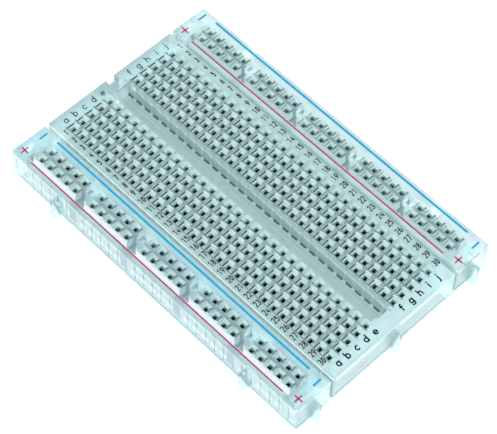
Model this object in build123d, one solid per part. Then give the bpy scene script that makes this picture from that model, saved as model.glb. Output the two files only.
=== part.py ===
from build123d import *
import os

# Solderless breadboard: 30 rows of two five-way contacts, and a two-row power rail along each long side.
# +X runs along the rows' numbering, +Y across the columns from a to j, +Z up.
# The origin is on the resting plane, under the middle of the hole pattern.

# ---- driving dimensions, mm ----
PITCH = 2.54
ROWS = 30
COLUMNS = 5
LENGTH = 82.7
STRIP_WIDTH = 34.7
RAIL_WIDTH = 9.5
RAIL_CENTRE = 22.42
PAD_HEIGHT = 0.8
HEIGHT = 8.5
TOP_PLATE = 1.3

# outer shape of a housing
LIP_HEIGHT = 1.0
LIP_STEP = 0.12
TOP_BEVEL = 0.25
CORNER_RADIUS = 0.4

# wire holes
HOLE = 0.95
FUNNEL = 1.8
FUNNEL_DEPTH = 0.85

# cells that hold the contacts
CELL_WIDTH = 2.0
CELL_END_MARGIN = 0.13
COLUMN_C = 3.5 * PITCH
CHANNEL_WIDTH = 2.8
CHANNEL_DEPTH = 2.8
CHANNEL_HALF_LENGTH = 37.6

# ribbed side galleries and end pockets that keep the walls thin
GALLERY_WIDTH = 0.9
GALLERY_LENGTH = 1.94
GALLERY_WALL = 0.8
GALLERY_RIB_TOP = 5.2
END_WALL = 1.25
END_POCKET = 1.7
RAIL_END_WALL = 1.95
RAIL_END_POCKET = 1.5

# dovetail joints between housings
TAB_REACH = 1.7
TAB_ROOT = 1.5
TAB_TIP = 2.1
TAB_TOP = 5.6
TAB_CORNER = 0.85
TAB_ROUND = 0.25
TAB_SINK = 0.5
TAB_X = 27.3
SLOT_DEPTH = 1.5
SLOT_PLAY = 0.25

# power rail hole pattern
RAIL_GROUPS = 5
GROUP_HOLES = 5
GROUP_PITCH = 6 * PITCH

# sprung contacts: thin plated strip, leaves leaning in to a pinch and flared above it
STRIP_THICKNESS = 0.2
CONTACT_HALF_WIDTH = 0.85
PINCH_HALF_GAP = 0.14
FLARE_HALF_GAP = 0.6
CONTACT_BASE_Z = 0.9
LEAF_ROOT_Z = 2.0
PINCH_Z = 4.9
LEAF_TOP_Z = 6.7
LEAF_CUT_Z = 1.5
LEAF_WIDTH = 2.0
CLIP_LENGTH = 12.2
BUS_HALF_LENGTH = 36.9
BUS_TAIL_TOP = 5.0
BUS_TAIL_ROOM = 1.2

# foam pads
PAD_EDGE = 0.3
PAD_SLOT_EDGE = 1.9
PAD_SIDE_EDGE = 0.3

CELL_LENGTH = COLUMNS * PITCH - 2 * CELL_END_MARGIN
PLATE_UNDERSIDE = HEIGHT - TOP_PLATE
SLOT_ROOF = TAB_TOP + 0.2
BELOW = 1.0
CLEAR = 0.2


def row_x(row):
    """Middle of a numbered row, 1 to 30."""
    return (row - (ROWS + 1) / 2) * PITCH


def group_middles():
    """Middles of a rail's five groups of holes."""
    return [(group - (RAIL_GROUPS - 1) / 2) * GROUP_PITCH for group in range(RAIL_GROUPS)]


def rail_hole_xs():
    """Hole places along a rail."""
    offsets = [(hole - (GROUP_HOLES - 1) / 2) * PITCH for hole in range(GROUP_HOLES)]
    return [middle + offset for middle in group_middles() for offset in offsets]


def block(x_low, x_high, y_low, y_high, z_low, z_high):
    """A plain box between two corners."""
    size = (x_high - x_low, y_high - y_low, z_high - z_low)
    centre = ((x_low + x_high) / 2, (y_low + y_high) / 2, (z_low + z_high) / 2)
    return Pos(*centre) * Box(*size)


def funnel_hole():
    """The air of one wire hole: square funnel over a straight square hole, top at z = 0."""
    shaft = block(-HOLE / 2, HOLE / 2, -HOLE / 2, HOLE / 2, -TOP_PLATE - CLEAR, CLEAR)
    mouth = Plane.XY * Rectangle(FUNNEL, FUNNEL)
    throat = Plane.XY.offset(-FUNNEL_DEPTH) * Rectangle(HOLE, HOLE)
    return shaft + loft([mouth, throat])


def dovetail(root, tip, reach):
    """Plan outline of a tab or slot: from the wall at y = 0 towards -Y, wider at its tip."""
    corners = ((-root / 2, 0), (-tip / 2, -reach), (tip / 2, -reach), (root / 2, 0))
    return make_face(Polyline(*corners, close=True))


def tab():
    """A male dovetail with a rounded tip that stands out of a wall facing -Y; the wall is at y = 0."""
    widening = (TAB_TIP - TAB_ROOT) * TAB_SINK / TAB_REACH
    outline = Pos(0, TAB_SINK) * dovetail(TAB_ROOT - widening, TAB_TIP, TAB_REACH + TAB_SINK)
    solid = Pos(0, 0, PAD_HEIGHT) * extrude(outline, TAB_TOP - PAD_HEIGHT)
    solid = fillet(solid.edges().filter_by(Axis.Z).group_by(Axis.Y)[0], TAB_CORNER)
    outer_edges = [edge for edge in solid.edges() if edge.center().Y < TAB_SINK - 0.01]
    rims = [edge for edge in outer_edges if abs(edge.tangent_at(0.5).Z) < 0.5]
    return fillet(rims, TAB_ROUND)


def slot(roof):
    """The air of a female dovetail in a wall facing +Y at y = 0, open below and closed at the roof."""
    gap = RAIL_CENTRE - RAIL_WIDTH / 2 - STRIP_WIDTH / 2
    slope = (TAB_TIP - TAB_ROOT) / TAB_REACH
    mouth = TAB_ROOT + slope * gap + 2 * SLOT_PLAY
    bottom = mouth + slope * SLOT_DEPTH
    outline = dovetail(mouth, bottom, SLOT_DEPTH)
    return extrude(outline, roof + BELOW).moved(Location((0, 0, -BELOW)))


def housing(width):
    """A closed housing block with a lip round its foot and a bevelled top edge."""
    foot = extrude(Pos(0, 0, PAD_HEIGHT) * RectangleRounded(LENGTH, width, CORNER_RADIUS), LIP_HEIGHT)
    wall = RectangleRounded(LENGTH - 2 * LIP_STEP, width - 2 * LIP_STEP, CORNER_RADIUS)
    body = extrude(Pos(0, 0, PAD_HEIGHT) * wall, HEIGHT - PAD_HEIGHT)
    body = chamfer(body.faces().sort_by(Axis.Z)[-1].edges(), TOP_BEVEL)
    return body + foot


def with_joints(body, width, end_roof):
    """Adds the tabs on the -Y side and +X end, and cuts the slots of the +Y side and -X end."""
    male = tab()
    tabs = []
    for x in (-TAB_X, TAB_X):
        tabs.append(Pos(x, -width / 2 + LIP_STEP) * male)
    tabs.append(Pos(LENGTH / 2 - LIP_STEP, 0) * Rot(0, 0, 90) * male)
    body = body.fuse(*tabs)
    slots = []
    for x in (-TAB_X, TAB_X):
        slots.append(Pos(x, width / 2) * slot(SLOT_ROOF))
    slots.append(Pos(-LENGTH / 2, 0) * Rot(0, 0, 90) * slot(end_roof))
    return body.cut(*slots)


def galleries(xs, y_centre, beside_slots):
    """Open-bottomed pockets in a side wall, one beside each hole, with a rib between neighbours."""
    half_x = GALLERY_LENGTH / 2
    half_y = GALLERY_WIDTH / 2
    slot_reach = TAB_TIP / 2 + SLOT_PLAY + half_x
    pockets = []
    for x in xs:
        meets_slot = beside_slots and abs(abs(x) - TAB_X) < slot_reach + CLEAR
        if not meets_slot:
            pockets.append(block(x - half_x, x + half_x, y_centre - half_y, y_centre + half_y,
                                 -BELOW, PLATE_UNDERSIDE))
    return pockets


def end_pocket(end, wall, depth, y_low, y_high):
    """An open-bottomed pocket behind the end wall at -X (end = -1) or +X (end = 1)."""
    outer = LENGTH / 2 - wall
    near, far = sorted((end * outer, end * (outer - depth)))
    return block(near, far, y_low, y_high, -BELOW, PLATE_UNDERSIDE)


def strip_housing():
    """The middle housing: 300 wire holes over 60 cells, and the centre channel."""
    cell = block(-CELL_WIDTH / 2, CELL_WIDTH / 2, -CELL_LENGTH / 2, CELL_LENGTH / 2, -BELOW, PLATE_UNDERSIDE)
    hole = funnel_hole()
    holes = [Pos(0, (n - (COLUMNS - 1) / 2) * PITCH, HEIGHT) * hole for n in range(COLUMNS)]
    cell = cell.fuse(*holes)
    xs = [row_x(row) for row in range(1, ROWS + 1)]
    cuts = [Pos(x, side * COLUMN_C) * cell for x in xs for side in (-1, 1)]
    gallery_y = STRIP_WIDTH / 2 - GALLERY_WALL - GALLERY_WIDTH / 2
    cuts += galleries(xs, -gallery_y, False)
    cuts += galleries(xs, gallery_y, True)
    for end in (-1, 1):
        for side in (-1, 1):
            middle = side * COLUMN_C
            y_low = middle - CELL_LENGTH / 2
            y_high = middle + CELL_LENGTH / 2
            cuts.append(end_pocket(end, END_WALL, END_POCKET, y_low, y_high))
    cuts.append(block(-CHANNEL_HALF_LENGTH, CHANNEL_HALF_LENGTH, -CHANNEL_WIDTH / 2, CHANNEL_WIDTH / 2,
                      HEIGHT - CHANNEL_DEPTH, HEIGHT + BELOW))
    body = with_joints(housing(STRIP_WIDTH), STRIP_WIDTH, HEIGHT + BELOW)
    return body.cut(*cuts)


def rail_row(side):
    """The air of one row of a rail: a low passage for the contact, five cells and the wire holes above."""
    y = side * PITCH / 2
    y_low = y - CELL_WIDTH / 2
    y_high = y + CELL_WIDTH / 2
    group_half = GROUP_HOLES * PITCH / 2 - CELL_END_MARGIN
    passage_half = BUS_HALF_LENGTH + CLEAR
    passage = block(-passage_half, passage_half, y_low, y_high, -BELOW, LEAF_ROOT_Z + CLEAR)
    tail_room = block(passage_half - BUS_TAIL_ROOM, passage_half, y_low, y_high, -BELOW, BUS_TAIL_TOP + CLEAR)
    pieces = [tail_room]
    for middle in group_middles():
        pieces.append(block(middle - group_half, middle + group_half, y_low, y_high, -BELOW, PLATE_UNDERSIDE))
    hole = funnel_hole()
    pieces += [Pos(x, y, HEIGHT) * hole for x in rail_hole_xs()]
    return passage.fuse(*pieces)


def rail_housing():
    """A power rail: two rows of 25 holes, each row over one long bus contact. Centred on y = 0."""
    cuts = []
    group_half = GROUP_HOLES * PITCH / 2 - (PITCH - GALLERY_LENGTH) / 2
    gallery_centre = RAIL_WIDTH / 2 - GALLERY_WALL - GALLERY_WIDTH / 2
    for side in (-1, 1):
        cuts.append(rail_row(side))
        cuts += galleries(rail_hole_xs(), side * gallery_centre, side > 0)
    for middle in group_middles():
        cuts.append(block(middle - group_half, middle + group_half, -gallery_centre - GALLERY_WIDTH / 2,
                          -gallery_centre + GALLERY_WIDTH / 2, GALLERY_RIB_TOP, PLATE_UNDERSIDE))
    pocket_half = RAIL_WIDTH / 2 - END_WALL
    for end in (-1, 1):
        cuts.append(end_pocket(end, RAIL_END_WALL, RAIL_END_POCKET, -pocket_half, pocket_half))
    body = with_joints(housing(RAIL_WIDTH), RAIL_WIDTH, SLOT_ROOF)
    return body.cut(*cuts)


def contact_profile():
    """Section of a contact: a flat base with a leaf up each side, pinching in and flared at the top."""
    right = [
        (CONTACT_HALF_WIDTH, CONTACT_BASE_Z),
        (CONTACT_HALF_WIDTH, LEAF_ROOT_Z),
        (PINCH_HALF_GAP + STRIP_THICKNESS, PINCH_Z),
        (FLARE_HALF_GAP + STRIP_THICKNESS, LEAF_TOP_Z),
        (FLARE_HALF_GAP, LEAF_TOP_Z),
        (PINCH_HALF_GAP, PINCH_Z),
        (CONTACT_HALF_WIDTH - STRIP_THICKNESS, LEAF_ROOT_Z),
        (CONTACT_HALF_WIDTH - STRIP_THICKNESS, CONTACT_BASE_Z + STRIP_THICKNESS),
    ]
    left = [(-across, up) for across, up in reversed(right)]
    return right + left


def leaf_gap(x_low, x_high, y_low, y_high):
    """The air between neighbouring leaves."""
    return block(x_low, x_high, y_low, y_high, LEAF_CUT_Z, HEIGHT)


def contact_clip():
    """A five-way clip along Y, centred on x = y = 0."""
    section = make_face(Plane.XZ * Polyline(*contact_profile(), close=True))
    body = Pos(0, CLIP_LENGTH / 2, 0) * extrude(section, CLIP_LENGTH, dir=(0, -1, 0))
    half_gap = (PITCH - LEAF_WIDTH) / 2
    middles = [(n + 1 - COLUMNS / 2) * PITCH for n in range(COLUMNS - 1)]
    return body.cut(*[leaf_gap(-CELL_WIDTH, CELL_WIDTH, y - half_gap, y + half_gap) for y in middles])


def bus_contact():
    """A long contact along X: a base strip, a pair of leaves at each hole and an upturned tail at +X."""
    section = make_face(Plane.YZ * Polyline(*contact_profile(), close=True))
    body = Pos(-BUS_HALF_LENGTH, 0, 0) * extrude(section, 2 * BUS_HALF_LENGTH, dir=(1, 0, 0))
    starts = [-BUS_HALF_LENGTH - BELOW] + [x + LEAF_WIDTH / 2 for x in rail_hole_xs()]
    ends = [x - LEAF_WIDTH / 2 for x in rail_hole_xs()] + [BUS_HALF_LENGTH + BELOW]
    body = body.cut(*[leaf_gap(low, high, -CELL_WIDTH, CELL_WIDTH) for low, high in zip(starts, ends)])
    tail = block(BUS_HALF_LENGTH - STRIP_THICKNESS, BUS_HALF_LENGTH, -CONTACT_HALF_WIDTH, CONTACT_HALF_WIDTH,
                 CONTACT_BASE_Z, BUS_TAIL_TOP)
    return body + tail


def foam_pad(width, y_centre):
    """A pad under a housing, flush with its plain sides and short of its slotted ones."""
    return block(-LENGTH / 2 + PAD_SLOT_EDGE, LENGTH / 2 - PAD_EDGE, y_centre - width / 2 + PAD_SIDE_EDGE,
                 y_centre + width / 2 - PAD_SLOT_EDGE, 0, PAD_HEIGHT)


def save(name, shape):
    export_step(shape, f"parts/{name}.step")


os.makedirs("parts", exist_ok=True)

save("terminal_strip_housing", strip_housing())
rail = rail_housing()
save("near_rail_housing", Pos(0, -RAIL_CENTRE) * rail)
save("far_rail_housing", Pos(0, RAIL_CENTRE) * rail)

clip = contact_clip()
for row in range(1, ROWS + 1):
    pair = [Pos(row_x(row), side * COLUMN_C) * clip for side in (-1, 1)]
    save(f"contact_clips_row_{row:02d}", Compound(children=pair))

bus = bus_contact()
for rail_name, y_rail in (("near_rail", -RAIL_CENTRE), ("far_rail", RAIL_CENTRE)):
    for sign, side in (("plus", -1), ("minus", 1)):
        save(f"{rail_name}_{sign}_bus", Pos(0, y_rail + side * PITCH / 2) * bus)

save("strip_foam_pad", foam_pad(STRIP_WIDTH, 0))
save("near_rail_foam_pad", foam_pad(RAIL_WIDTH, -RAIL_CENTRE))
save("far_rail_foam_pad", foam_pad(RAIL_WIDTH, RAIL_CENTRE))
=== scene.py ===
import math
from collections import namedtuple

import bmesh
import bpy
from mathutils import Matrix, Vector


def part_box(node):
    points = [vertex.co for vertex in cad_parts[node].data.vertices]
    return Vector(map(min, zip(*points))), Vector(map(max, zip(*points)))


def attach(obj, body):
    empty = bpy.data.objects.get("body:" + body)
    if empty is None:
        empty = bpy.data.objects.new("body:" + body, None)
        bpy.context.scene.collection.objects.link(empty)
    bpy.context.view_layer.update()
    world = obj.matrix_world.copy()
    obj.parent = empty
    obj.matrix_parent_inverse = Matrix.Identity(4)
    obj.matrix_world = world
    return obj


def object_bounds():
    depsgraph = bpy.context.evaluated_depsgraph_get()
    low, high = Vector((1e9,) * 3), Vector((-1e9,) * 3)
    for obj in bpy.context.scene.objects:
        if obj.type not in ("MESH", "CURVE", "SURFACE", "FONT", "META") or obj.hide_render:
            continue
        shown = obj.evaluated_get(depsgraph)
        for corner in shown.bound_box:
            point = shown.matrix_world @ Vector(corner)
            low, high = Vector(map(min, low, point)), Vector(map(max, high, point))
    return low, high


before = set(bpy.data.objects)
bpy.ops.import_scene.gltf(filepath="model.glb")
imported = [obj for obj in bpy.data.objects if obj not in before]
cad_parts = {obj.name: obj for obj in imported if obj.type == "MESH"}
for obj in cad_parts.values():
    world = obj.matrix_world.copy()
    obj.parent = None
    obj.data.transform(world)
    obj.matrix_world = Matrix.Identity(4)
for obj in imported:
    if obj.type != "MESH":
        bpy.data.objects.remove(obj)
CAD_LOW, CAD_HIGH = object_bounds()

MM = 0.001
PITCH = 2.54 * MM
GROUP = 6 * PITCH
ROWS = 30
TOP = CAD_HIGH.z


def mm(*values):
    """Millimetres as metres."""
    return tuple(value * MM for value in values)


# ---------- materials: node helpers ----------

class Graph:
    """The nodes of one procedural material. A value is a number, a colour or the socket that it comes from."""

    def __init__(self, name):
        self.material = bpy.data.materials.new(name)
        self.material.use_nodes = True
        self.nodes = self.material.node_tree.nodes
        self.links = self.material.node_tree.links
        self.nodes.clear()
        self.output = self.nodes.new("ShaderNodeOutputMaterial")

    def feed(self, socket, value):
        if isinstance(value, bpy.types.NodeSocket):
            self.links.new(value, socket)
        elif isinstance(value, tuple) and socket.type == "RGBA":
            socket.default_value = (*value, 1.0)
        else:
            socket.default_value = value

    def add(self, kind, inputs):
        """A node with the given inputs, named or numbered."""
        node = self.nodes.new("ShaderNode" + kind)
        for key, value in inputs.items():
            self.feed(node.inputs[key], value)
        return node

    def surface(self, shader):
        self.feed(self.output.inputs["Surface"], shader)

    def calc(self, operation, *values):
        """One Math node."""
        node = self.nodes.new("ShaderNodeMath")
        node.operation = operation
        for socket, value in zip(node.inputs, values):
            self.feed(socket, value)
        return node.outputs["Value"]

    def product(self, first, *others):
        for other in others:
            first = self.calc("MULTIPLY", first, other)
        return first

    def centred(self, value, middle, step):
        """The distance from the nearest of a row of places, one at middle and the next a step on."""
        return self.calc("WRAP", self.calc("SUBTRACT", value, middle), step / 2, -step / 2)

    def spread(self, factor, low, high):
        """The factor, from 0 to 1, spread between two values."""
        return self.add("MapRange", {"Value": factor, "To Min": low, "To Max": high}).outputs["Result"]

    def between(self, value, low, high, soft=0.05 * MM):
        """1 where the value lies between low and high, fading to 0 over soft beyond them."""
        rise = self.add("MapRange", {"Value": value, "From Min": low - soft, "From Max": low})
        fall = self.add("MapRange", {"Value": value, "From Min": high, "From Max": high + soft,
                                     "To Min": 1.0, "To Max": 0.0})
        return self.product(rise.outputs["Result"], fall.outputs["Result"])

    def blend(self, share, start, end):
        """Goes from number start to number end as share goes from 0 to 1."""
        return self.add("Mix", {"Factor": share, "A": start, "B": end}).outputs["Result"]

    def blend_colour(self, share, start, end):
        """Goes from colour start to colour end as share goes from 0 to 1."""
        node = self.nodes.new("ShaderNodeMix")
        node.data_type = "RGBA"
        # A Mix node has sockets of every type, some with the same name: these are the ones for colours.
        for number, value in ((0, share), (6, start), (7, end)):
            self.feed(node.inputs[number], value)
        return node.outputs[2]

    def mix_shader(self, share, first, second):
        return self.add("MixShader", {0: share, 1: first, 2: second}).outputs["Shader"]

    def place(self):
        """The point's (x, y, z) in the object's own coordinates."""
        coordinates = self.nodes.new("ShaderNodeTexCoord")
        parts = self.add("SeparateXYZ", {"Vector": coordinates.outputs["Object"]}).outputs
        return parts["X"], parts["Y"], parts["Z"]

    def facing(self):
        """The (x, y, z) of the face's direction."""
        coordinates = self.nodes.new("ShaderNodeTexCoord")
        parts = self.add("SeparateXYZ", {"Vector": coordinates.outputs["Normal"]}).outputs
        return parts["X"], parts["Y"], parts["Z"]

    def noise(self, scale, detail=2.0, stretch=(1.0, 1.0, 1.0)):
        """Noise in the object's own coordinates; the scale is in cycles per metre."""
        coordinates = self.nodes.new("ShaderNodeTexCoord")
        mapping = self.add("Mapping", {"Vector": coordinates.outputs["Object"], "Scale": stretch})
        noise = self.add("TexNoise", {"Vector": mapping.outputs["Vector"], "Scale": scale, "Detail": detail})
        return noise.outputs["Fac"]

    def ramp(self, factor, low, high):
        """A colour that goes from one (place, colour) to another."""
        node = self.add("ValToRGB", {"Fac": factor})
        for element, (position, colour) in zip(node.color_ramp.elements, (low, high)):
            element.position = position
            element.color = (*colour, 1.0)
        return node.outputs["Color"]

    def principled(self, colour, roughness, bump=None, **inputs):
        """The usual opaque surface; bump is (height, distance in metres, strength)."""
        shader = self.add("BsdfPrincipled", {"Base Color": colour, "Roughness": roughness})
        for key, value in inputs.items():
            self.feed(shader.inputs[key.replace("_", " ")], value)
        if bump:
            height, distance, strength = bump
            normal = self.add("Bump", {"Height": height, "Distance": distance, "Strength": strength})
            self.feed(shader.inputs["Normal"], normal.outputs["Normal"])
        self.surface(shader.outputs["BSDF"])
        return self.material


# ---------- materials: clear plastic ----------

# The upward part of a face's direction: under SLOPE_FROM it is a wall, over LEVEL_FROM level, between them a slope.
SLOPE_FROM, LEVEL_FROM = 0.12, 0.93
SIDEWAYS = 0.5
SKIN = 0.6 * MM
# The row 1 end is a plain wall, so it gives the housings' half length; the other end has a tab.
HALF_LENGTH = -CAD_LOW.x

# How much of the light the haze catches; the rest goes straight through.
HAZE_PLAIN = 0.34
HAZE_FIELD = 0.26
HAZE_WALL = 0.22
HAZE_OUTER = 0.40
HAZE_CELL = 0.45
# HAZE_SLOPE, with PLASTIC_SLOPE, paints a highlight on the slopes.
HAZE_SLOPE = 0.75
HAZE_HIGHLIGHT = 0.62
# HAZE_DARK is the haze of painted shade.
HAZE_DARK = 0.88
HAZE_SPREAD = (0.85, 1.15)
HAZE_SCALE = 260.0
MILK_THROUGH = 0.4
GLOSS_ROUGHNESS = 0.12
PLASTIC_IOR = 1.5

PLASTIC_CLEAR = (0.90, 0.975, 0.975)
PLASTIC_HAZE = (0.66, 0.94, 0.95)
# PLASTIC_SLOPE is the colour of the painted highlights on the slopes and beyond each hole.
PLASTIC_SLOPE = (0.76, 0.97, 0.97)
PLASTIC_OUTER = (0.66, 0.90, 0.92)
# PLASTIC_DARK is the colour of painted shade.
PLASTIC_DARK = (0.05, 0.10, 0.10)

# Around each hole: painted shade, where the contacts are seen in shade as dark lines through the funnel walls and the
# plate, and a painted highlight beyond it.
# Y is from halfway between two holes, X from a hole's middle.
NEAR_LINE_Y = mm(-1.20, -0.9)
NEAR_LINE_STRENGTH = 0.75
WALL_LINE_Z = mm(8.12, 8.42)
RIM_LINE_Z = mm(7.16, 7.66)
HIGHLIGHT_Y = mm(0.85, 1.27)
HIGHLIGHT_X = mm(-0.70, 0.75)

# Where a housing's sockets lie: |x| up to half_length in each period, |y - middle| between low and high.
# hole_x is where a hole's middle lies along X; y is from the housing's middle.
Field = namedtuple("Field", "half_length period hole_x middle low high")

# A place where the skin is painted lighter or darker, as light and shade from the inside would make it look. Its y, x
# and z are (low, high) in metres, y from the housing's middle, or from there to both sides. It repeats along X as
# (middle, half length, step), leaning with Y, and may keep to level faces. haze and colour are the skin's there, and
# glow is painted light, an emission for the light that the plastic carries to it.
Patch = namedtuple("Patch", "y haze colour x z both level lean repeats soft glow",
                   defaults=(None, None, False, False, 0.0, (), 0.1 * MM, 0.0))


def patch_mask(graph, patch, x, y, z, level):
    """1 within the patch, fading to 0 at its edges."""
    across = graph.calc("ABSOLUTE", y) if patch.both else y
    mask = graph.between(across, *patch.y, patch.soft)
    if patch.x:
        mask = graph.product(mask, graph.between(x, *patch.x, patch.soft))
    leaning = graph.calc("ADD", x, graph.product(y, patch.lean))
    for middle, half, step in patch.repeats:
        mask = graph.product(mask, graph.between(graph.centred(leaning, middle, step), -half, half, patch.soft))
    if patch.z:
        mask = graph.product(mask, graph.between(z, *patch.z))
    if patch.level:
        mask = graph.product(mask, level)
    return mask


def plastic_shader(graph, colour, haze, glow):
    """Light goes straight through or is caught by the haze, under a glossy skin, with painted light, an emission
    glow, added.
    """
    clear = graph.add("BsdfTransparent", {"Color": PLASTIC_CLEAR})
    front = graph.add("BsdfDiffuse", {"Color": colour})
    through = graph.add("BsdfTranslucent", {"Color": colour})
    gloss = graph.add("BsdfGlossy", {"Roughness": GLOSS_ROUGHNESS})
    fresnel = graph.add("Fresnel", {"IOR": PLASTIC_IOR})
    painted_glow = graph.add("Emission", {"Color": colour, "Strength": glow})
    milk = graph.mix_shader(MILK_THROUGH, front.outputs["BSDF"], through.outputs["BSDF"])
    body = graph.mix_shader(haze, clear.outputs["BSDF"], milk)
    skin = graph.mix_shader(fresnel.outputs["Fac"], body, gloss.outputs["BSDF"])
    return graph.add("AddShader", {0: skin, 1: painted_glow.outputs["Emission"]}).outputs["Shader"]


def clear_plastic(name, y_centre, half_width, field, lines, patches):
    """Moulded clear polystyrene: see-through, with a faint cyan haze and a glossy skin.

    Its slopes are painted lighter, as a highlight, and it is clearest over the sockets, where the plate is thin and
    hollow below.
    lines is how strongly the contacts show, in painted shade, as dark lines beside each hole, and how strongly the
    painted highlight beyond each hole shows.
    """
    graph = Graph(name)
    x, y, z = graph.place()
    y = graph.calc("SUBTRACT", y, y_centre)
    facing_x, facing_y, facing_z = graph.facing()
    upward = graph.calc("ABSOLUTE", facing_z)
    level = graph.calc("GREATER_THAN", upward, LEVEL_FROM)
    slope = graph.calc("SUBTRACT", graph.calc("GREATER_THAN", upward, SLOPE_FROM), level)
    wall = graph.calc("LESS_THAN", upward, SLOPE_FROM)
    outside = graph.calc("MAXIMUM",
                         graph.calc("GREATER_THAN", graph.calc("ABSOLUTE", y), half_width - SKIN),
                         graph.calc("GREATER_THAN", graph.calc("ABSOLUTE", x), HALF_LENGTH - SKIN))

    from_group = graph.calc("ABSOLUTE", graph.centred(x, 0.0, field.period))
    from_middle = graph.calc("ABSOLUTE", graph.calc("SUBTRACT", y, field.middle))
    sockets = graph.product(graph.between(from_group, -field.half_length, field.half_length),
                            graph.between(from_middle, field.low, field.high))
    local_x = graph.centred(x, field.hole_x, PITCH)
    local_y = graph.centred(y, PITCH / 2, PITCH)

    # Painted shade: dark lines beside each hole, on the plate and on the funnel and rim walls, for the shaded
    # contacts below.
    near_line = graph.product(graph.between(local_y, *NEAR_LINE_Y), level, NEAR_LINE_STRENGTH)
    wall_line = graph.product(graph.between(z, *WALL_LINE_Z),
                              graph.calc("GREATER_THAN", facing_x, SIDEWAYS), slope)
    rim_line = graph.product(graph.between(z, *RIM_LINE_Z),
                             graph.calc("LESS_THAN", facing_y, -SIDEWAYS), wall)
    dark = graph.calc("MAXIMUM", near_line, graph.calc("MAXIMUM", wall_line, rim_line))
    dark = graph.product(dark, sockets, lines)
    # A painted highlight on the level top beyond each hole.
    highlight = graph.product(graph.between(local_y, *HIGHLIGHT_Y), graph.between(local_x, *HIGHLIGHT_X), sockets, level, lines)
    slope = graph.product(slope, graph.calc("SUBTRACT", 1.0, outside))

    level_haze = graph.blend(sockets, HAZE_PLAIN, HAZE_FIELD)
    wall_haze = graph.blend(sockets, HAZE_WALL, HAZE_CELL)
    wall_haze = graph.blend(outside, wall_haze, HAZE_OUTER)
    haze = graph.blend(level, wall_haze, level_haze)
    # Painted highlights: the slopes and the places beyond each hole are hazier and lighter.
    haze = graph.blend(slope, haze, HAZE_SLOPE)
    haze = graph.blend(highlight, haze, HAZE_HIGHLIGHT)
    haze = graph.product(haze, graph.spread(graph.noise(HAZE_SCALE, 3.0), *HAZE_SPREAD))
    colour = graph.blend_colour(graph.calc("MAXIMUM", slope, highlight), PLASTIC_HAZE, PLASTIC_SLOPE)
    colour = graph.blend_colour(outside, colour, PLASTIC_OUTER)
    glow = 0.0
    not_slope = graph.calc("SUBTRACT", 1.0, slope)
    for patch in patches:
        mask = graph.product(patch_mask(graph, patch, x, y, z, level), not_slope)
        haze = graph.blend(mask, haze, patch.haze)
        colour = graph.blend_colour(mask, colour, patch.colour)
        if patch.glow:
            glow = graph.calc("ADD", glow, graph.product(mask, patch.glow))
    # The painted shade goes over everything else.
    colour = graph.blend_colour(dark, colour, PLASTIC_DARK)
    haze = graph.blend(dark, haze, HAZE_DARK)
    graph.surface(plastic_shader(graph, colour, haze, glow))
    return graph.material


# ---------- materials: where the three housings are painted lighter or darker, as light and shade ---

# The plain sides, without tabs, are the strip's and the far rail's far sides and the near rail's inner one.
RAIL_OUTER = CAD_HIGH.y
RAIL_INNER = -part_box("near_rail_housing")[1].y
RAIL_Y = (RAIL_OUTER + RAIL_INNER) / 2
RAIL_HALF_WIDTH = (RAIL_OUTER - RAIL_INNER) / 2
STRIP_HALF_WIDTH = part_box("terminal_strip_housing")[1].y
HOLES_X = mm(-37.4, 37.4)
CHANNEL_X = mm(-37.6, 37.6)
RAIL_NEAR_WALL_Y = mm(-5.0, -4.4)
# GAP_COLOUR is the colour of the gap walls that carry a painted glow; GROUP_MARK_COLOUR is painted shade.
GAP_COLOUR = (0.66, 0.92, 0.93)
GROUP_MARK_COLOUR = (0.20, 0.36, 0.38)

# A painted highlight along the top bevel at the row 30 end.
END_BEVEL = Patch(mm(-18.0, 18.0), 0.62, (0.76, 0.95, 0.96), x=mm(40.6, 41.5), z=mm(7.9, 8.47))
STRIP_PATCHES = [
    END_BEVEL,
    # The row 30 end, and the two numbered edges, which are painted darker as shade.
    Patch(mm(-16.8, 16.8), 0.62, (0.64, 0.89, 0.90), x=mm(37.3, 41.3), level=True, soft=0.2 * MM),
    Patch(mm(14.5, 17.2), 0.55, (0.56, 0.78, 0.78), x=mm(-37.3, 37.3), both=True, level=True),
    # The sides, with painted light glowing in the gaps beside them, and a painted highlight on the near top edge.
    Patch(mm(17.1, 17.6), 0.35, GAP_COLOUR, both=True, glow=0.12),
    Patch(mm(-17.6, -17.1), 0.70, (0.84, 0.98, 0.98), z=mm(8.12, 8.6)),
    # The channel, painted lighter and darker as light and shade: its floor and walls, its far edge, the blocks on its
    # far wall and the dark dashes below them.
    Patch(mm(-1.45, 1.45), 0.60, (0.54, 0.76, 0.78), x=CHANNEL_X),
    Patch(mm(1.6, 1.9), 0.42, (0.62, 0.84, 0.85), x=mm(-37.6, 38.2), level=True),
    Patch(mm(1.0, 1.6), 0.60, (0.64, 0.87, 0.88), x=mm(-37.0, 37.6), lean=0.9,
          repeats=[(1.9 * MM, 0.25 * MM, PITCH)]),
    Patch(mm(1.12, 1.45), 0.85, PLASTIC_DARK, x=CHANNEL_X, z=mm(5.6, 5.9),
          repeats=[(PITCH / 2 + 0.7 * MM, 0.75 * MM, PITCH)]),
]
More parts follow.
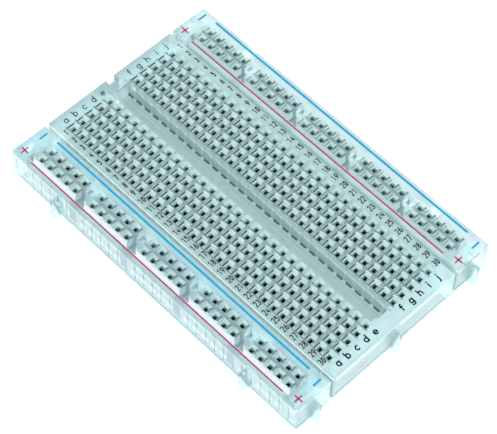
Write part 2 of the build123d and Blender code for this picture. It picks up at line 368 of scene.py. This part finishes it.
RAIL_PATCHES = [
    END_BEVEL,
    # Painted shade: the dark line between the two rows of holes, and the dark marks beside each hole.
    Patch(mm(-0.45, 0.25), 0.55, (0.32, 0.46, 0.48), x=HOLES_X, level=True,
          repeats=[(0.4 * MM, 6.5 * MM, GROUP)]),
    Patch(mm(0.6, 1.9), 0.65, (0.16, 0.26, 0.28), x=HOLES_X, both=True, level=True,
          repeats=[(1.1 * MM, 0.2 * MM, PITCH), (0.5 * MM, 6.3 * MM, GROUP)]),
    # Painted shade: a leaning streak and two darker marks in each gap between groups of holes.
    Patch(mm(-3.1, 0.6), 0.42, (0.40, 0.56, 0.58), x=HOLES_X, level=True, lean=0.95, soft=0.25 * MM,
          repeats=[(GROUP / 2 - 1.4 * MM, 0.4 * MM, GROUP)]),
    Patch(mm(-0.2, 0.8), 0.55, GROUP_MARK_COLOUR, x=HOLES_X, level=True, soft=0.2 * MM,
          repeats=[(GROUP / 2 + 0.3 * MM, 0.3 * MM, GROUP)]),
    Patch(mm(-3.1, -1.4), 0.55, GROUP_MARK_COLOUR, x=HOLES_X, level=True, soft=0.2 * MM,
          repeats=[(GROUP / 2 + 0.3 * MM, 0.3 * MM, GROUP)]),
]
NEAR_PATCHES = [
    # The top, with painted light: white places beside the groups of holes.
    Patch(mm(-4.7, 4.7), 0.48, (0.56, 0.82, 0.88), level=True),
    Patch(mm(-3.4, -2.05), 0.72, (0.88, 0.98, 0.98), x=HOLES_X, level=True, lean=0.9,
          repeats=[(-2.4 * MM, 6.7 * MM, GROUP)]),
    # The near wall, with a faint rib for each partition behind it, painted as a dark line of shade, and a place
    # painted darker between groups, as shade.
    Patch(RAIL_NEAR_WALL_Y, 0.55, (0.64, 0.85, 0.87), z=mm(1.0, 8.0)),
    Patch(RAIL_NEAR_WALL_Y, 0.60, (0.26, 0.42, 0.45), x=mm(-41.0, 41.0), z=mm(2.6, 7.2),
          repeats=[(0.9 * MM, 0.15 * MM, PITCH)]),
    Patch(RAIL_NEAR_WALL_Y, 0.50, (0.44, 0.68, 0.75), x=HOLES_X, z=mm(3.4, 7.6), soft=0.3 * MM,
          repeats=[(GROUP / 2, 0.7 * MM, GROUP)]),
    # The wall in the gap beside the strip, with painted light, a glow.
    Patch(mm(4.5, 5.0), 0.35, GAP_COLOUR, glow=0.12),
] + RAIL_PATCHES
FAR_PATCHES = [
    # The top, painted brighter beyond the holes, and the wall in the gap beside the strip, with painted light, a
    # glow.
    Patch(mm(-4.7, 4.7), 0.52, (0.66, 0.90, 0.91), level=True),
    Patch(mm(1.9, 4.7), 0.58, (0.80, 0.97, 0.98), level=True, soft=0.5 * MM),
    Patch(mm(-5.0, -4.5), 0.35, GAP_COLOUR, glow=0.16),
] + RAIL_PATCHES
STRIP_FIELD = Field(38.0 * MM, 90.0 * MM, PITCH / 2, -1.03 * MM, 3.54 * MM, 14.1 * MM)
RAIL_FIELD = Field(6.3 * MM, GROUP, 0.0, -0.4 * MM, -1.0 * MM, 2.2 * MM)


# ---------- materials: metal, foam, ink ----------

# Above LIP_FROM the contacts are painted bright as a highlight, below it dark as shade.
LIP_FROM = 6.2 * MM
LIP_SOFT = 0.12 * MM


def contact_metal():
    """Nickel-plated spring strip with rolling marks, painted bright at its lips as a highlight and painted dark down
    in the sockets as shade.
    """
    graph = Graph("contact_metal")
    lip = graph.between(graph.place()[2], LIP_FROM, TOP, LIP_SOFT)
    wear = graph.noise(700.0, 3.0)
    deep = graph.ramp(wear, (0.3, (0.012, 0.018, 0.018)), (0.7, (0.035, 0.045, 0.045)))
    bright = graph.ramp(wear, (0.3, (0.52, 0.58, 0.57)), (0.7, (0.70, 0.75, 0.74)))
    rolling = graph.noise(4000.0, 2.0, (1.0, 1.0, 0.08))
    return graph.principled(graph.blend_colour(lip, deep, bright), graph.spread(wear, 0.25, 0.42),
                            bump=(rolling, 0.01 * MM, 0.3), Metallic=1.0)


def white_foam():
    """Closed-cell foam tape."""
    graph = Graph("white_foam")
    cells = graph.noise(3500.0, 2.0)
    colour = graph.ramp(cells, (0.35, (0.80, 0.83, 0.82)), (0.65, (0.94, 0.95, 0.94)))
    return graph.principled(colour, 0.9, bump=(cells, 0.08 * MM, 0.6))


def ink(name, colour, thin_colour):
    """Screen-printed ink, a little uneven in cover."""
    graph = Graph(name)
    cover = graph.noise(1800.0, 2.0)
    return graph.principled(graph.ramp(cover, (0.25, thin_colour), (0.5, colour)), 0.5,
                            bump=(cover, 0.01 * MM, 0.3), Specular_IOR_Level=0.08)


PLASTIC = {
    "terminal_strip_housing":
        clear_plastic("strip_plastic", 0.0, STRIP_HALF_WIDTH, STRIP_FIELD, 1.0, STRIP_PATCHES),
    "near_rail_housing":
        clear_plastic("near_rail_plastic", -RAIL_Y, RAIL_HALF_WIDTH, RAIL_FIELD, 0.3, NEAR_PATCHES),
    "far_rail_housing":
        clear_plastic("far_rail_plastic", RAIL_Y, RAIL_HALF_WIDTH, RAIL_FIELD, 0.6, FAR_PATCHES),
}
METAL = contact_metal()
FOAM = white_foam()
BLACK_INK = ink("black_ink", (0.002, 0.002, 0.003), (0.008, 0.009, 0.010))
RED_INK = ink("red_ink", (0.30, 0.012, 0.095), (0.36, 0.03, 0.12))
BLUE_INK = ink("blue_ink", (0.001, 0.215, 0.370), (0.003, 0.25, 0.42))


def dress(node, material):
    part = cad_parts[node]
    part.data.materials.clear()
    part.data.materials.append(material)


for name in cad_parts:
    if name.endswith("housing"):
        dress(name, PLASTIC[name])
    elif name.endswith("foam_pad"):
        dress(name, FOAM)
    else:
        dress(name, METAL)


# ---------- printing: strokes ----------

INK_LIFT = 0.004 * MM
INK_THICKNESS = 0.02 * MM
CAP_STEPS = 6
SHARPEST_MITRE = 0.6


def ribbon(mesh, points, width, closed=False):
    """Adds a flat printed stroke along points (x, y) to the bmesh: with round ends, or closed into a ring."""
    half = width / 2
    points = [Vector(p) for p in points]
    count = len(points)
    left, right = [], []
    for i, point in enumerate(points):
        before = points[(i - 1) % count] if closed or i > 0 else point
        after = points[(i + 1) % count] if closed or i < count - 1 else point
        along_in = (point - before).normalized() if (point - before).length else (after - point).normalized()
        along_out = (after - point).normalized() if (after - point).length else along_in
        normal_in = Vector((-along_in.y, along_in.x))
        normal_out = Vector((-along_out.y, along_out.x))
        mitre = normal_in + normal_out
        mitre = mitre / max(mitre.dot(normal_in), SHARPEST_MITRE)
        left.append(point + mitre * half)
        right.append(point - mitre * half)
    if closed:
        extrude_ring(mesh, left, right)
        return
    start_cap = cap(points[0], (points[0] - points[1]).normalized(), half)
    end_cap = cap(points[-1], (points[-1] - points[-2]).normalized(), half)
    extrude_outline(mesh, left + end_cap + right[::-1] + start_cap)


def cap(centre, direction, half):
    """Points of a half circle round a stroke's end, from its left side to its right."""
    side = Vector((-direction.y, direction.x))
    angles = [math.pi * k / CAP_STEPS for k in range(1, CAP_STEPS)]
    return [centre + side * (half * math.cos(a)) + direction * (half * math.sin(a)) for a in angles]


def ink_corners(mesh, outline):
    """The outline's corners at the ink's underside and at its top."""
    return [[mesh.verts.new((p.x, p.y, TOP + height)) for p in outline]
            for height in (INK_LIFT, INK_LIFT + INK_THICKNESS)]


def extrude_outline(mesh, outline):
    low, high = ink_corners(mesh, outline)
    mesh.faces.new(high)
    mesh.faces.new(low[::-1])
    for i in range(len(outline)):
        j = (i + 1) % len(outline)
        mesh.faces.new((low[i], low[j], high[j], high[i]))


def extrude_ring(mesh, left, right):
    left_low, left_high = ink_corners(mesh, left)
    right_low, right_high = ink_corners(mesh, right)
    for i in range(len(left)):
        j = (i + 1) % len(left)
        mesh.faces.new((left_high[i], left_high[j], right_high[j], right_high[i]))
        mesh.faces.new((left_low[j], left_low[i], right_low[i], right_low[j]))
        mesh.faces.new((left_low[i], left_low[j], left_high[j], left_high[i]))
        mesh.faces.new((right_low[j], right_low[i], right_high[i], right_high[j]))


def arc(cx, cy, rx, ry, start, stop, steps=10):
    """Points of an arc, angles in degrees, anticlockwise from +x."""
    turn = [math.radians(start + (stop - start) * k / steps) for k in range(steps + 1)]
    return [(cx + rx * math.cos(t), cy + ry * math.sin(t)) for t in turn]


def line(*points):
    return "line", list(points)


def ring(cy, rx, ry, steps=18):
    """A closed oval, centred on x = 0."""
    return "ring", arc(0, cy, rx, ry, 0, 360, steps)[:-1]


# ---------- printing: numbers, letters and polarity marks ----------

# Each glyph is a list of strokes in units of the capital height: x to the right, y up, centred on x = 0.
X_HEIGHT = 0.62
BOWL = ring(X_HEIGHT / 2, 0.26, X_HEIGHT / 2)
DOT = line((0.0, 0.9), (0.0, 0.96))
GLYPHS = {
    "0": [ring(0.5, 0.27, 0.5, 20)],
    "1": [line((-0.24, 0.80), (0.04, 1.0), (0.04, 0.0))],
    "2": [line(*arc(0, 0.72, 0.26, 0.28, 160, -35), (-0.28, 0.0), (0.28, 0.0))],
    "3": [line(*arc(-0.02, 0.75, 0.24, 0.25, 140, -80)),
          line(*arc(-0.02, 0.27, 0.28, 0.27, 85, -145))],
    "4": [line((0.12, 0.0), (0.12, 1.0), (-0.3, 0.3), (0.3, 0.3))],
    "5": [line((0.24, 1.0), (-0.2, 1.0), (-0.24, 0.56), *arc(-0.02, 0.32, 0.28, 0.32, 110, -140, 12))],
    "6": [ring(0.31, 0.27, 0.31), line((0.12, 1.0), (-0.1, 0.72), (-0.25, 0.42))],
    "7": [line((-0.27, 1.0), (0.27, 1.0), (-0.06, 0.0))],
    "8": [ring(0.26, 0.28, 0.26), ring(0.76, 0.22, 0.24, 16)],
    "9": [ring(0.69, 0.27, 0.31), line((-0.12, 0.0), (0.1, 0.28), (0.25, 0.58))],
    "a": [BOWL, line((0.27, X_HEIGHT), (0.27, 0.0))],
    "b": [BOWL, line((-0.27, 1.0), (-0.27, 0.0))],
    "c": [line(*arc(0.02, X_HEIGHT / 2, 0.27, X_HEIGHT / 2, 50, 310, 14))],
    "d": [BOWL, line((0.27, 1.0), (0.27, 0.0))],
    "e": [line((-0.26, X_HEIGHT / 2), (0.27, X_HEIGHT / 2), *arc(0, X_HEIGHT / 2, 0.27, X_HEIGHT / 2, 10, 315, 14))],
    "f": [line(*arc(0.16, 0.8, 0.18, 0.2, 80, 180, 6), (-0.02, 0.0)), line((-0.16, X_HEIGHT), (0.18, X_HEIGHT))],
    "g": [BOWL, line((0.27, X_HEIGHT), (0.27, -0.12), *arc(0.0, -0.12, 0.27, 0.2, -15, -150, 8))],
    "h": [line((-0.24, 1.0), (-0.24, 0.0)),
          line(*arc(0.0, X_HEIGHT - 0.24, 0.24, 0.24, 180, 0), (0.24, 0.0))],
    "i": [line((0.0, X_HEIGHT), (0.0, 0.0)), DOT],
    "j": [line((0.05, X_HEIGHT), (0.05, -0.1), *arc(-0.1, -0.1, 0.15, 0.18, 0, -100, 6)),
          line((0.05, 0.9), (0.05, 0.96))],
}
DIGIT_WIDTH = 0.66
DIGIT_ADVANCE = 0.60

NUMBER_HEIGHT = 1.28 * MM
NUMBER_STROKE = 0.21 * MM
LETTER_HEIGHT = 1.5 * MM
# The place along X of the letters at each end, and their stroke there.
LETTER_ENDS = {"row_1_end": mm(-39.3, 0.20), "row_30_end": mm(39.1, 0.30)}
# The place along Y of the numbers at each edge, and how far they stand from their row along X.
NUMBER_EDGES = {"near": mm(-15.95, -0.05), "far": mm(16.25, -0.2)}
# Each half's letters, and the first one's place along Y.
LETTERS = {"abcde": -5.5 * PITCH, "fghij": 1.5 * PITCH}

LINE_HALF_LENGTH = 36.1 * MM
LINE_OFFSET = 3.57 * MM
MARK_X = 39.35 * MM
MARK_OFFSET = 2.5 * MM
MARK_HALF = 0.9 * MM
# Width of the line beside the holes, and of the sign's strokes.
PLUS_WIDTHS = mm(0.34, 0.32)
MINUS_WIDTHS = mm(0.46, 0.42)


def print_text(mesh, text, centre, height, stroke, width=1.0):
    """Prints text that reads along +Y with its top towards -X, centred on a point."""
    for n, letter in enumerate(text):
        along = (n - (len(text) - 1) / 2) * DIGIT_ADVANCE * height
        for kind, points in GLYPHS[letter]:
            placed = [(centre[0] - (y - 0.5) * height, centre[1] + along + x * height * width) for x, y in points]
            ribbon(mesh, placed, stroke, kind == "ring")


def scene_object(name, mesh, material):
    """Makes the bmesh an object with one material, and frees the bmesh."""
    data = bpy.data.meshes.new(name)
    mesh.to_mesh(data)
    mesh.free()
    data.materials.append(material)
    piece = bpy.data.objects.new(name, data)
    bpy.context.scene.collection.objects.link(piece)
    return piece


def printed_piece(name, body, material, draw, *values):
    """One piece of printing that rides on a body; draw adds its strokes to a bmesh."""
    mesh = bmesh.new()
    draw(mesh, *values)
    bmesh.ops.recalc_face_normals(mesh, faces=mesh.faces)
    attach(scene_object(name, mesh, material), body)


def row_x(row):
    return (row - (ROWS + 1) / 2) * PITCH


def draw_numbers(mesh, y, shift):
    for row in range(1, ROWS + 1):
        print_text(mesh, str(row), (row_x(row) + shift, y), NUMBER_HEIGHT, NUMBER_STROKE, DIGIT_WIDTH)


def draw_letters(mesh, x, stroke):
    for letters, first in LETTERS.items():
        for n, letter in enumerate(letters):
            print_text(mesh, letter, (x, first + n * PITCH), LETTER_HEIGHT, stroke)


def draw_polarity(mesh, y_rail, side, widths):
    """A line beside the holes and a sign at each end of it: plus on the near side, minus on the far one."""
    line_width, stroke = widths
    y_line = y_rail + side * LINE_OFFSET
    y_mark = y_rail + side * MARK_OFFSET
    ribbon(mesh, [(-LINE_HALF_LENGTH, y_line), (LINE_HALF_LENGTH, y_line)], line_width)
    for x in (-MARK_X, MARK_X):
        ribbon(mesh, [(x, y_mark - MARK_HALF), (x, y_mark + MARK_HALF)], stroke)
        if side < 0:
            # The plus's crossbar is two strokes, whose round ends meet inside the upright.
            for end in (-1, 1):
                inner = x + end * (stroke / 2 + INK_LIFT)
                ribbon(mesh, [(inner, y_mark), (x + end * MARK_HALF, y_mark)], stroke)


def rail_middle(rail):
    """Y halfway between a rail's two contact strips."""
    boxes = [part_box(rail + bus) for bus in ("_plus_bus", "_minus_bus")]
    return sum(low.y + high.y for low, high in boxes) / 4


for edge, values in NUMBER_EDGES.items():
    printed_piece("row_numbers_" + edge, "terminal_strip", BLACK_INK, draw_numbers, *values)
for end, values in LETTER_ENDS.items():
    printed_piece("column_letters_" + end, "terminal_strip", BLACK_INK, draw_letters, *values)
for rail in ("near_rail", "far_rail"):
    y_rail = rail_middle(rail)
    printed_piece(rail + "_plus_print", rail, RED_INK, draw_polarity, y_rail, -1, PLUS_WIDTHS)
    printed_piece(rail + "_minus_print", rail, BLUE_INK, draw_polarity, y_rail, 1, MINUS_WIDTHS)


# ---------- floor, light, camera ----------

FLOOR_HALF_WIDTH = 3.0
FLOOR_COLOUR = (0.93, 0.94, 0.94)
FLOOR_GLOW = 0.45
SKY_COLOUR = (0.95, 0.98, 1.0)
SKY_STRENGTH = 1.38
KEY_PLACE = Vector((0.15, -0.35, 0.75))
KEY_SIZE = 0.5
KEY_POWER = 4.2

SENSOR = 36.0
VIEW_AZIMUTH = math.radians(43.70)
VIEW_ELEVATION = math.radians(57.23)
VIEW_ROLL = math.radians(2.38)
VIEW_DISTANCE = 0.42527
VIEW_TARGET = Vector((0.00313, -0.00277, 0.0076))
VIEW_LENS = 153.73


def floor():
    mesh = bmesh.new()
    bmesh.ops.create_grid(mesh, x_segments=1, y_segments=1, size=FLOOR_HALF_WIDTH)
    material = Graph("floor").principled(FLOOR_COLOUR, 0.8,
                                         Emission_Color=(1.0, 1.0, 1.0), Emission_Strength=FLOOR_GLOW)
    scene_object("floor", mesh, material)


def studio():
    """An even pale sky and one large soft light from the near side."""
    world = bpy.data.worlds.new("studio")
    world.use_nodes = True
    background = world.node_tree.nodes["Background"]
    background.inputs["Color"].default_value = (*SKY_COLOUR, 1.0)
    background.inputs["Strength"].default_value = SKY_STRENGTH
    bpy.context.scene.world = world

    light = bpy.data.lights.new("key", "AREA")
    light.shape = "DISK"
    light.size = KEY_SIZE
    light.energy = KEY_POWER
    lamp = bpy.data.objects.new("key", light)
    lamp.location = KEY_PLACE
    lamp.rotation_euler = (-KEY_PLACE).to_track_quat("-Z", "Y").to_euler()
    bpy.context.scene.collection.objects.link(lamp)


def camera():
    data = bpy.data.cameras.new("camera")
    data.sensor_width = SENSOR
    data.lens = VIEW_LENS
    data.clip_start = 0.01
    data.clip_end = 10.0
    back = Vector((math.sin(VIEW_AZIMUTH) * math.cos(VIEW_ELEVATION),
                   -math.cos(VIEW_AZIMUTH) * math.cos(VIEW_ELEVATION),
                   math.sin(VIEW_ELEVATION)))
    right = Vector((math.cos(VIEW_AZIMUTH), math.sin(VIEW_AZIMUTH), 0.0))
    up = back.cross(right)
    rolled_right = right * math.cos(VIEW_ROLL) + up * math.sin(VIEW_ROLL)
    rolled_up = back.cross(rolled_right)
    place = Matrix((rolled_right, rolled_up, back)).transposed().to_4x4()
    place.translation = VIEW_TARGET + back * VIEW_DISTANCE
    view = bpy.data.objects.new("camera", data)
    view.matrix_world = place
    bpy.context.scene.collection.objects.link(view)
    bpy.context.scene.camera = view


def render_settings():
    """Plain colours, and enough bounces to see through the many walls of the mouldings."""
    scene = bpy.context.scene
    scene.view_settings.view_transform = "Standard"
    scene.cycles.max_bounces = 16
    scene.cycles.transmission_bounces = 16
    scene.cycles.transparent_max_bounces = 40


floor()
studio()
camera()
render_settings()
